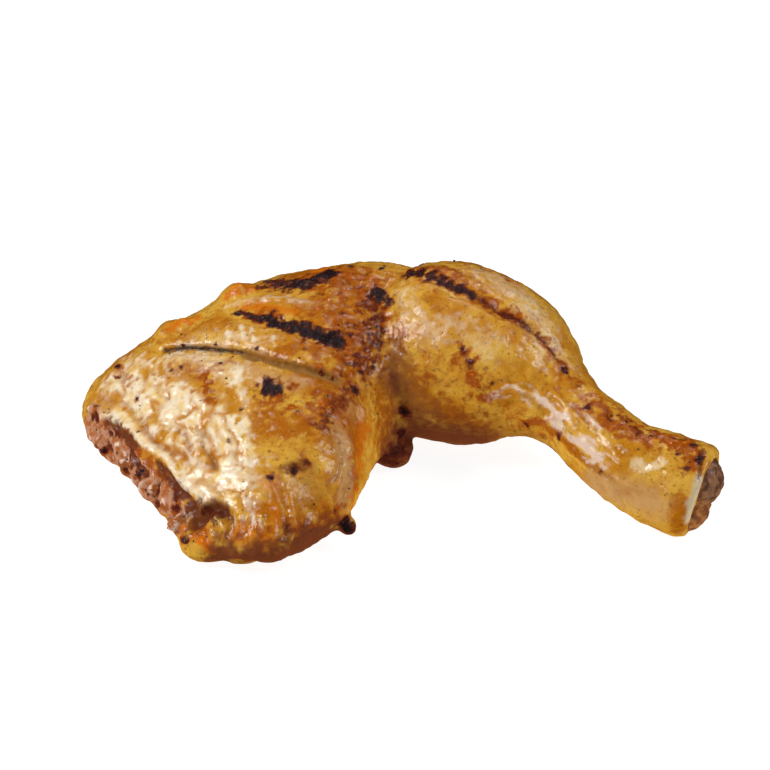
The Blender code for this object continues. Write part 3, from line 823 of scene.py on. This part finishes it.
# Painted shade: the underside, under the drumstick and the knee, the crevices, the nub's cavity and the
# creases.
deep = layered(
    (0.5, lowest),
    smudge(5.0, NUB_CREVICE[:5], end=4.0, rag=0.35),
    (0.5, smudge(2.0, NUB_CREVICE[4:], end=1.2, rag=0.35)),
    (0.5, loose * (1 - plated) * soft(-relief, 0.4, 1.0)),
    (0.9, smudge(3.0, CREVICES[0])),
    (0.9, smudge(2.6, CREVICES[1])),
    smudge(3.4, CREVICES[2]),
    (0.35, smudge(2.0, FOLD)),
    (0.6, stroke(2.4, ((-27, -38, 25), (-22, -36, 25)))),
    (0.9, stroke(7, ((2, -3, 6), (0, 2, 4)))),
    stroke(19, ((0, 4, 6), (12, 1, 7), (24, 0, 6)), end=12, rag=0.12, crisp=0.9),
    (0.8, stroke(3, ((-46, -49, 2), (-40, -54, 4)))),
    stroke(10, ((-42, -52, 5), (-37, -54, 8), (-30, -55, 9), (-22, -50, 8), (-15, -45, 6)),
        rag=0.35, crisp=0.9),
    stroke(4.2, ((-11, -39, 7),)),
    (0.35, stroke(2.5, ((-80, 0, 10), (-72, -14, 10), (-62, -26, 9), (-55, -38, 8)), rag=1.0)),
    (0.8, stroke(1.1, ((42, -6, 12), (50, -14, 12)))),
    (0.7, stroke(1.0, ((82, -30, 26), (81, -34, 25), (80, -38, 22)))),
    (0.5, stroke(0.9, ((-43, 33, 42), (-40, 34, 42)))),
    (0.5, stroke(5, ((0, 6, 25), (-2, 2, 28)), crisp=0.9)),
    (0.35, smudge(12, ((4, 2, 30), (8, 0, 26), (20, -4, 18)), rag=0.35)),
    (0.4, smudge(8, ((-1, -4, 20), (-2, -6, 10)), rag=0.35)),
    (0.35, smudge(3, ((2, 7, 38), (1, 4, 30)), rag=0.35)),
)
# Painted shade inside the slit.
slit = smudge(1.3, SLIT[:5], end=0.9, rag=0.3)
gristle = stroke(2.4, ((80.5, -39, 22), (79.5, -42, 17), (79, -41, 11)), rag=0.25)
print_means(deep=deep, slit=slit, gristle=gristle)

# %% [markdown]
# A finish can't see these masks yet. A picture wrapped round the leg could carry them, but the points of
# the net can hold their own values, with nothing to unwrap. Two more masks set the shine: wet where fat
# runs over the skin, and dry where it is burnt or browned, lies deep or is turned away from above.
# %% Paint the masks on the mesh
NEAR_EDGE = ((-44, -42, 18), (-34, -48, 19), (-30, -52, 14))


def paint(mesh, **masks):
    """Writes each mask on the mesh, as a value from 0 to 1 for each point."""
    for name, values in masks.items():
        layer = mesh.attributes.new(name, "FLOAT", "POINT")
        layer.data.foreach_set("value", np.clip(values, 0, 1).astype(np.float32))


wet = layered(
    loose, sinewy, (0.7, blistered), (0.45, torn), (0.6, burnt), (0.6, smudge(9, NEAR_EDGE, rag=0.35)),
)
turned_away = soft(-outward[:, 2], -0.75, 0.0)
dry = np.maximum.reduce(
    [turned_away, slit, 0.8 * deep, olive, 0.65 * burnt, 0.6 * russet, 0.6 * orange, 0.45 * amber],
)
paint(skin.data, cream=cream, tan=tan, olive=olive, amber=amber, orange=orange, russet=russet, deep=deep)
# The creases of the left face are kept for painted shade.
paint(skin.data, tendon=tendon, hollow=hollow, crest=crest, creased=loose * (1 - plated))
paint(skin.data, burnt=burnt, slit=slit, gristle=gristle, torn=torn, wet=wet, dry=dry)
print("painted", len(skin.data.attributes), "attributes")

# %% [markdown]
# Roast skin is a clear amber film over fat and meat. Its colours were found next to a photo of the
# real thing, zone by zone. They are the light that each throws back, as red, green, blue and opacity from
# 0 to 1, with hardly any blue, because browned fat swallows it.
# %% Colours of the skin
GOLD = (0.68, 0.37, 0.045, 1)
DEEP_GOLD = (0.52, 0.20, 0.010, 1)
AMBER = (0.40, 0.112, 0.003, 1)
# Cream, also used for painted sheen and highlights.
CREAM = (0.90, 0.77, 0.56, 1)
BUTTER = (0.82, 0.55, 0.18, 1)
TAN = (0.55, 0.30, 0.105, 1)
OLIVE = (0.30, 0.145, 0.036, 1)
ORANGE = (0.62, 0.155, 0.004, 1)
RUSSET = (0.33, 0.068, 0.005, 1)
MAROON = (0.105, 0.018, 0.009, 1)
# The colour of painted shade in low and deep places.
DEEP = (0.165, 0.042, 0.014, 1)
# The black of crust, also used for the few smudges of painted shade in the burnt mask.
BURNT = (0.018, 0.008, 0.009, 1)
SLIT_DARK = (0.045, 0.020, 0.008, 1)
GRISTLE = (0.58, 0.47, 0.29, 1)
# Tendon white, partly a painted highlight.
PINK_WHITE = (0.76, 0.56, 0.42, 1)
TORN_MEAT = (0.50, 0.24, 0.135, 1)
# A lighter copy of the torn meat: painted highlight on its crests.
PINK_MEAT = (0.80, 0.57, 0.43, 1)
ORANGE_MEAT = (0.40, 0.12, 0.03, 1)
BROWN = (0.24, 0.075, 0.010, 1)
print("gold", GOLD[:3], "amber", AMBER[:3], "cream", CREAM[:3])

# %% [markdown]
# The colours go on like glazes, each over those before it, from gold to burnt. A mask used as it is would
# have the soft edge of an airbrush, so noise stirs most of them first, and the ramp's two numbers say
# where the colour starts and where it's full. Three noises are shared: blotches of a centimetre, flecks
# of a few millimetres and specks of one.
# %% Finish: roast skin
roast, tree, shader = finish("roast skin")
place = step(tree, "ShaderNodeTexCoord").outputs["Object"]


def mottled(scale, detail=4.0, rough=0.6):
    """Cloudy noise; a scale of 100 has clouds of a centimetre."""
    clouds = step(tree, "ShaderNodeTexNoise", Vector=place, Scale=scale, Detail=detail, Roughness=rough)
    return clouds.outputs[0]


blotch = mottled(120.0)
fleck = mottled(420.0, 4.0, 0.65)
speck = mottled(900.0, 3.0, 0.65)


def cloudy(name, amount, cloud=fleck):
    """A painted mask with its soft edge stirred by noise."""
    stir = step(tree, "ShaderNodeMath", {"operation": "SUBTRACT"}, i0=cloud, i1=0.5).outputs[0]
    mask, stir = painted(tree, name), times(tree, stir, amount)
    return step(tree, "ShaderNodeMath", {"operation": "ADD"}, i0=mask, i1=stir).outputs[0]


colour = blend(tree, ramp(tree, blotch, 0.36, 0.66), GOLD, DEEP_GOLD)
colour = blend(tree, ramp(tree, cloudy("amber", 1.4), 0.12, 1.0), colour, AMBER)
colour = blend(tree, times(tree, ramp(tree, speck, 0.53, 0.68), 0.55), colour, BROWN)
colour = blend(tree, painted(tree, "tan"), colour, TAN)
# Painted shade: the hollows darkened to amber.
colour = blend(tree, times(tree, painted(tree, "hollow"), 0.6), colour, AMBER)
# Cream, partly painted sheen and highlights.
pale = blend(tree, ramp(tree, mottled(260.0), 0.42, 0.72), CREAM, BUTTER)
colour = blend(tree, ramp(tree, cloudy("cream", 0.9), 0.05, 1.0), colour, pale)
# Painted shade: the creases of the left face darkened to deep gold.
creases = times(tree, painted(tree, "creased"), ramp(tree, blotch, 0.66, 0.40))
colour = blend(tree, creases, colour, DEEP_GOLD)
# Tendon white, partly a painted highlight.
colour = blend(tree, ramp(tree, cloudy("tendon", 1.0), 0.15, 0.85), colour, PINK_WHITE)
colour = blend(tree, times(tree, ramp(tree, mottled(640.0, 3.0), 0.58, 0.74), 0.18), colour, BUTTER)
colour = blend(tree, painted(tree, "olive"), colour, OLIVE)
colour = blend(tree, ramp(tree, cloudy("orange", 1.0), 0.05, 0.85), colour, ORANGE)
# Torn meat with painted light: a lighter pink on its crests and maroon shade in its hollows.
meat = blend(tree, ramp(tree, cloudy("crest", 1.2, speck), 0.30, 0.80), TORN_MEAT, PINK_MEAT)
meat = blend(tree, ramp(tree, fleck, 0.46, 0.58), meat, ORANGE_MEAT)
meat = blend(tree, ramp(tree, cloudy("hollow", 1.8), 0.18, 0.80), meat, MAROON)
colour = blend(tree, ramp(tree, cloudy("torn", 0.8), 0.20, 0.75), colour, meat)
red = blend(tree, ramp(tree, fleck, 0.58, 0.72), RUSSET, ORANGE)
# Painted shade: maroon in the hollows of the red-brown.
red = blend(tree, ramp(tree, cloudy("hollow", 1.8, speck), 0.20, 0.80), red, MAROON)
colour = blend(tree, ramp(tree, cloudy("russet", 2.0), 0.25, 1.05), colour, red)
colour = blend(tree, painted(tree, "gristle"), colour, GRISTLE)
# Painted shade: dark brown in low and deep places.
colour = blend(tree, ramp(tree, cloudy("deep", 0.7), 0.05, 1.0), colour, DEEP)
# Painted shade inside the slit.
colour = blend(tree, painted(tree, "slit"), colour, SLIT_DARK)
# Black crust, and painted shade where the burnt mask holds the smudges under the knee, by the nub and in a
# crevice.
charred = cloudy("burnt", 1.1, speck)
colour = blend(tree, ramp(tree, charred, 0.06, 0.55), colour, MAROON)
black = ramp(tree, charred, 0.42, 0.90)
colour = blend(tree, black, colour, BURNT)
fill(tree, shader, Base_Color=colour)
print("layers of colour", len([n for n in tree.nodes if n.bl_idname == "ShaderNodeMix"]))

# %% [markdown]
# Oil makes the skin shine in small sharp points, and a little light gets into the fat and comes out as a
# soft glow. The wet mask sets how smooth the oil is and the dry one how strongly it mirrors. Pores, fine
# wrinkles and crust are too small for the net, so they are bump, one on the other.
# %% Finish: gloss and fine relief of the skin
GLOW_SHARE = 0.08
GLOW_REACH = 0.0015
GLOW_BY_COLOUR = (1.0, 0.35, 0.10)
OIL_IOR = 1.40
ROUGHNESS_DAMP = 0.24
ROUGHNESS_WET = 0.12
SHINE_OILED = 0.70
SHINE_DRY = 0.0


def by_mask(name, without, full):
    """A value that goes from one number to another with a painted mask."""
    return step(tree, "ShaderNodeMapRange", Value=painted(tree, name), To_Min=without, To_Max=full).outputs[0]


fill(tree, shader, Subsurface_Weight=GLOW_SHARE, Subsurface_Scale=GLOW_REACH)
fill(tree, shader, Subsurface_Radius=GLOW_BY_COLOUR)
fill(tree, shader, Roughness=by_mask("wet", ROUGHNESS_DAMP, ROUGHNESS_WET), IOR=OIL_IOR)
fill(tree, shader, Specular_IOR_Level=by_mask("dry", SHINE_OILED, SHINE_DRY))
pore = step(tree, "ShaderNodeTexVoronoi", Vector=place, Scale=480.0).outputs["Distance"]
pits = step(tree, "ShaderNodeBump", Strength=0.2, Distance=0.0004, Height=ramp(tree, pore, 0.05, 0.5))
wrinkle = step(tree, "ShaderNodeBump", Strength=0.4, Distance=0.0009, Height=fleck, Normal=pits.outputs[0])
crust = times(tree, mottled(1500.0, 4.0, 0.65), black)
crusty = step(tree, "ShaderNodeBump", Strength=0.8, Distance=0.0008, Height=crust, Normal=wrinkle.outputs[0])
fill(tree, shader, Normal=crusty.outputs[0])
print("finish nodes", len(tree.nodes))

# %% [markdown]
# The skin now takes the place of the solid leg. It could be joined to the bone, but then the two would
# share a material. It rides the one body of the part, because the leg has no joints.
# %% Place the skin
skin.data.materials.append(roast)
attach(skin, "root")
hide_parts("chicken_leg")
print(skin.name, "takes the place of the solid leg")

# %% [markdown]
# The shank bone shows only at the cut end, as two round knuckle lobes with a notch between them, set in a
# ring of gristle. New lobes could be modelled, but the solid's own bone already fits, so it's made finer,
# pitted like cut cartilage, and browner at the tips that stood out over the fire.
# %% Shank bone
BONE_VOXEL = 0.45
BONE_SMOOTHING = 3
PIT_SIZE = 1.6
PIT_DEPTH = 0.5
SWOLLEN_FROM = 66
SWELLING = 0.4
HORN = (0.50, 0.19, 0.035, 1)
HORN_DARK = (0.22, 0.065, 0.012, 1)
BROWNED = (0.29, 0.13, 0.055, 1)
BROWNED_DARK = (0.11, 0.04, 0.018, 1)

bone = even_net("shank_bone", "knuckle_bone", BONE_VOXEL, BONE_SMOOTHING)
knobs, normals = places(bone.data)
pitted = noise_at(knobs / PIT_SIZE)
swell = np.where(knobs[:, 0] > SWOLLEN_FROM, SWELLING, 0.0) + PIT_DEPTH * pitted
bone.data.vertices.foreach_set("co", ((knobs + normals * swell[:, None]) * MM).ravel())
paint(bone.data, browned=soft(knobs[:, 2] + 1.5 * pitted, 11, 17) * soft(knobs[:, 0], 79, 83))

horn, tree, shader = finish("cooked bone")
place = step(tree, "ShaderNodeTexCoord").outputs["Object"]
mottle = mottled(420.0)
pale = blend(tree, ramp(tree, mottle, 0.38, 0.62), HORN, HORN_DARK)
dark = blend(tree, ramp(tree, mottle, 0.40, 0.60), BROWNED, BROWNED_DARK)
fill(tree, shader, Base_Color=blend(tree, painted(tree, "browned"), pale, dark))
dents = step(tree, "ShaderNodeBump", Strength=0.5, Distance=0.0006, Height=mottle)
fill(tree, shader, Roughness=0.42, Specular_IOR_Level=0.4, Normal=dents.outputs[0])
bone.data.materials.append(horn)
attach(bone, "root")
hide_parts("shank_bone")
print("bone swollen by", round(float(swell.min()), 2), "to", round(float(swell.max()), 2), "mm")

# %% [markdown]
# Burnt crumbs and ground pepper sit on the skin. Placing hundreds of them by hand would take hours, and
# grains that follow a surface are what Geometry Nodes are for. The tree scatters points on the skin by a
# painted density, puts a small uneven grain on each, and makes them real mesh at the end.
# %% Grains: the tree of nodes
FLATTEST = (0.6, 0.6, 0.45)
LONGEST = (1.3, 1.1, 0.9)
FULL_TURN = (6.28, 6.28, 6.28)
DENT_SCALE = 2600.0
DENT_DEPTH = 0.0007


def three_random(group, low, high, seed):
    """Three random numbers for each grain, each between its own two."""
    kind = {"data_type": "FLOAT_VECTOR"}
    return step(group, "FunctionNodeRandomValue", kind, i0=low, i1=high, Seed=seed).outputs[0]


def grain_tree(material):
    """Inputs: Geometry, Density (grains per square metre), Smallest, Largest, Seed, Mask."""
    group = bpy.data.node_groups.new("grains on skin", "GeometryNodeTree")
    face = group.interface
    face.new_socket("Geometry", in_out="INPUT", socket_type="NodeSocketGeometry")
    kinds = {"Density": "Float", "Smallest": "Float", "Largest": "Float", "Seed": "Int", "Mask": "String"}
    for name, kind in kinds.items():
        face.new_socket(name, in_out="INPUT", socket_type="NodeSocket" + kind)
    face.new_socket("Geometry", in_out="OUTPUT", socket_type="NodeSocketGeometry")
    given = group.nodes.new("NodeGroupInput")
    mask = step(group, "GeometryNodeInputNamedAttribute", {"data_type": "FLOAT"}, Name=given.outputs["Mask"])
    dense = times(group, mask.outputs[0], given.outputs["Density"])
    scatter = step(group, "GeometryNodeDistributePointsOnFaces", {"distribute_method": "RANDOM"},
                   Mesh=given.outputs["Geometry"], Density=dense, Seed=given.outputs["Seed"])
    ball = step(group, "GeometryNodeMeshIcoSphere", Radius=1.0, Subdivisions=1)
    size = step(group, "FunctionNodeRandomValue", {"data_type": "FLOAT"}, Seed=given.outputs["Seed"],
                i2=given.outputs["Smallest"], i3=given.outputs["Largest"])
    squash = three_random(group, FLATTEST, LONGEST, 17)
    scale = step(group, "ShaderNodeVectorMath", {"operation": "SCALE"}, i0=squash, Scale=size.outputs[1])
    turn = three_random(group, (0, 0, 0), FULL_TURN, 5)
    placed = step(group, "GeometryNodeInstanceOnPoints", Points=scatter.outputs["Points"],
                  Instance=ball.outputs[0], Rotation=turn, Scale=scale.outputs[0])
    real = step(group, "GeometryNodeRealizeInstances", Geometry=placed.outputs[0])
    dent = step(group, "ShaderNodeTexNoise", Scale=DENT_SCALE, Detail=1.0).outputs["Color"]
    dent = step(group, "ShaderNodeVectorMath", {"operation": "SUBTRACT"}, i0=dent, i1=(0.5, 0.5, 0.5))
    shift = step(group, "ShaderNodeVectorMath", {"operation": "SCALE"}, i0=dent.outputs[0], Scale=DENT_DEPTH)
    rough = step(group, "GeometryNodeSetPosition", Geometry=real.outputs[0], Offset=shift.outputs[0])
    dressed = step(group, "GeometryNodeSetMaterial", Geometry=rough.outputs[0], Material=material)
    out = group.nodes.new("NodeGroupOutput")
    group.links.new(dressed.outputs[0], out.inputs[0])
    return group


def scattered(name, group, **inputs):
    """Grains on the skin as one plain mesh."""
    draft = put(name, skin.data)
    nodes = draft.modifiers.new("grains", "NODES")
    nodes.node_group = group
    for item in group.interface.items_tree:
        if item.in_out == "INPUT" and item.name in inputs:
            nodes[item.identifier] = inputs[item.name]
    return frozen(draft, name)


# %% [markdown]
# Crumbs of crust stick to the black marks and the torn meat, pepper fell round the slit, and a few clumps
# cling to the far rim, where they show against the white. Each kind has its own density mask and sizes,
# and all share one sooty finish, so they look like the crust they broke off from.
# %% Grains: where they lie
SOOT = (0.024, 0.011, 0.011, 1)
SOOT_RED = (0.09, 0.022, 0.012, 1)
PEPPER_ELSEWHERE = 0.03
CLUMPS = ((9, 33, 48), (18, 37, 48), (-11, 37, 46), (-2, 36, 46), (-35, 36, 41), (33, 30, 36))
# Densities are in grains per square metre and sizes are radii in metres.
GRAINS = {
    "burnt_crumbs": {"Density": 3.5e5, "Smallest": 0.00012, "Largest": 0.00038, "Seed": 3, "Mask": "crumbs"},
    "pepper_grains": {"Density": 6e4, "Smallest": 0.00014, "Largest": 0.00036, "Seed": 8, "Mask": "pepper"},
    "crumb_clumps": {"Density": 1.2e6, "Smallest": 0.0003, "Largest": 0.0007, "Seed": 5, "Mask": "clumps"},
}

above = soft(outward[:, 2], 0.0, 0.3) * soft(points[:, 2], 4, 8)
peppered = layered(
    stroke(9, ((-60, 12, 32), (-52, 4, 34), (-46, -2, 36), (-47, -10, 33)), crisp=0.9),
    (0.6, stroke(7, ((-36, 30, 43), (-10, 32, 46)), crisp=0.9)),
    (0.3, stroke(8, ((-80, 8, 21), (-72, -4, 22)), crisp=0.9)),
    (0.5, stroke(6, ((66, -26, 26), (78, -34, 24)), crisp=0.9)),
    (PEPPER_ELSEWHERE, np.ones(len(points))),
)
paint(skin.data, crumbs=np.clip(burnt + 0.15 * blistered + 0.2 * torn, 0, 1) * above)
paint(skin.data, clumps=layered(*[stroke(1.3, (place,), rag=0.2) for place in CLUMPS]))
paint(skin.data, pepper=above * peppered)

soot, tree, shader = finish("burnt grain")
place = step(tree, "ShaderNodeTexCoord").outputs["Object"]
patch = step(tree, "ShaderNodeTexNoise", Vector=place, Scale=300.0, Detail=2.0).outputs[0]
fill(tree, shader, Base_Color=blend(tree, ramp(tree, patch, 0.4, 0.62), SOOT, SOOT_RED))
fill(tree, shader, Roughness=0.4, Specular_IOR_Level=0.3)
group = grain_tree(soot)
for piece in [scattered(name, group, **given) for name, given in GRAINS.items()]:
    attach(piece, "root")
